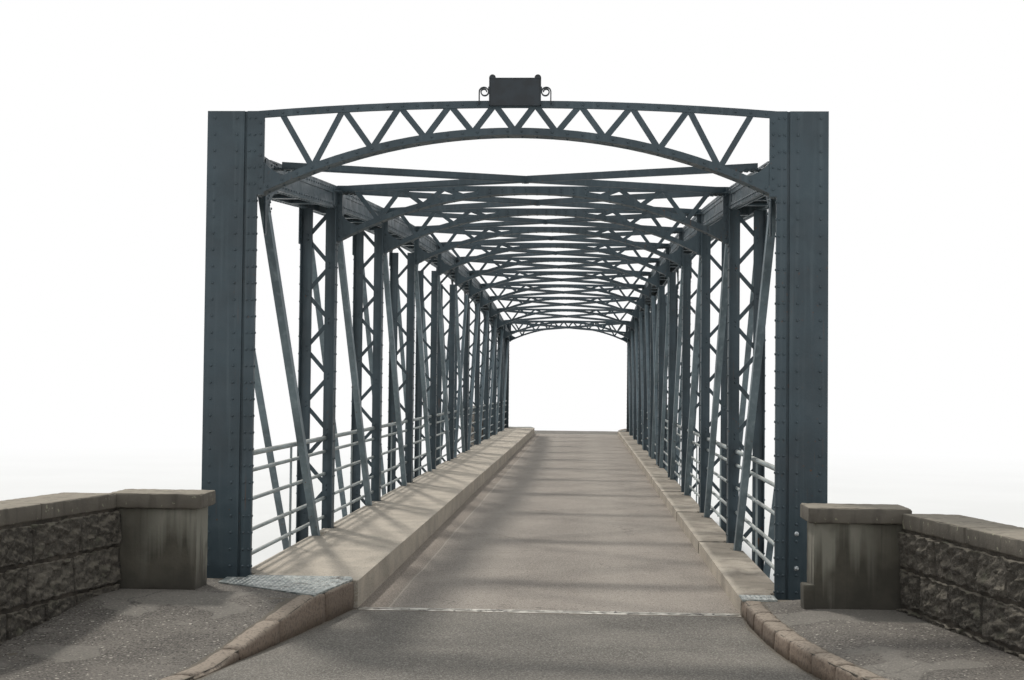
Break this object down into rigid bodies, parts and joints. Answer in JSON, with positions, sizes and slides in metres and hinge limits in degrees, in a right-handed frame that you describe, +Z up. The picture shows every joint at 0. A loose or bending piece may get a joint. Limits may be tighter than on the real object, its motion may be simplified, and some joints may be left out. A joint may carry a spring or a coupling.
{
  "type": "riveted truss road bridge, 1:2 scale model",
  "caption": "Riveted through-truss road bridge with curved top chords, laced posts, arched lattice portals, deck with footway and kerb, and masonry abutments; 1:2 model.",
  "frame": {"origin": "on the floor under the middle of the bridge: halfway between its ends and between its two trusses", "axes": "+X to the right as seen from the near end, +Y along the bridge from the near end to the far end, +Z up"},
  "size_m": [4.1458, 24.82, 3.9467],
  "materials": {
    "bridge_paint": "dark blue-grey paint, weathered, semi-matt",
    "black_iron": "black paint, semi-matt",
    "bearing_iron": "cast iron, dull with rust",
    "worn_plate": "worn chequered steel plate",
    "deck_concrete": "weathered concrete, matt",
    "pillar_stone": "rendered stone with pale streaks, matt",
    "coping_stone": "dark dressed stone, matt",
    "rubble_masonry": "rock-faced rubble masonry, dark brown-grey, matt"
  },
  "bodies": {
    "root": {"near_abutment": "rubble_masonry", "far_abutment": "rubble_masonry", "near_bearings": "bearing_iron", "far_bearings": "bearing_iron", "left_bottom_chord": "bridge_paint", "right_bottom_chord": "bridge_paint", "left_top_chord": "bridge_paint", "right_top_chord": "bridge_paint", "near_left_end_post": "bridge_paint", "near_right_end_post": "bridge_paint", "far_left_end_post": "bridge_paint", "far_right_end_post": "bridge_paint", "left_posts": "bridge_paint", "right_posts": "bridge_paint", "left_diagonals": "bridge_paint", "right_diagonals": "bridge_paint", "left_upper_gussets": "bridge_paint", "right_upper_gussets": "bridge_paint", "left_lower_gussets": "bridge_paint", "right_lower_gussets": "bridge_paint", "near_portal_frame": "bridge_paint", "far_portal_frame": "bridge_paint", "cross_frames": "bridge_paint", "top_bracing": "bridge_paint", "floor_beams": "bridge_paint", "stringers": "bridge_paint", "bottom_bracing": "bridge_paint", "roadway_slab": "deck_concrete", "footway_slab": "deck_concrete", "footway_edge": "deck_concrete", "kerb_blocks": "deck_concrete", "left_railing": "bridge_paint", "right_railing": "bridge_paint", "name_board": "black_iron", "near_joint_plates": "worn_plate", "far_joint_plates": "worn_plate", "near_pillars": "pillar_stone", "far_pillars": "pillar_stone", "near_pillar_caps": "pillar_stone", "far_pillar_caps": "pillar_stone", "near_wing_parapets": "rubble_masonry", "far_wing_parapets": "rubble_masonry", "near_wing_copings": "coping_stone", "far_wing_copings": "coping_stone"}
  },
  "joints": []
}
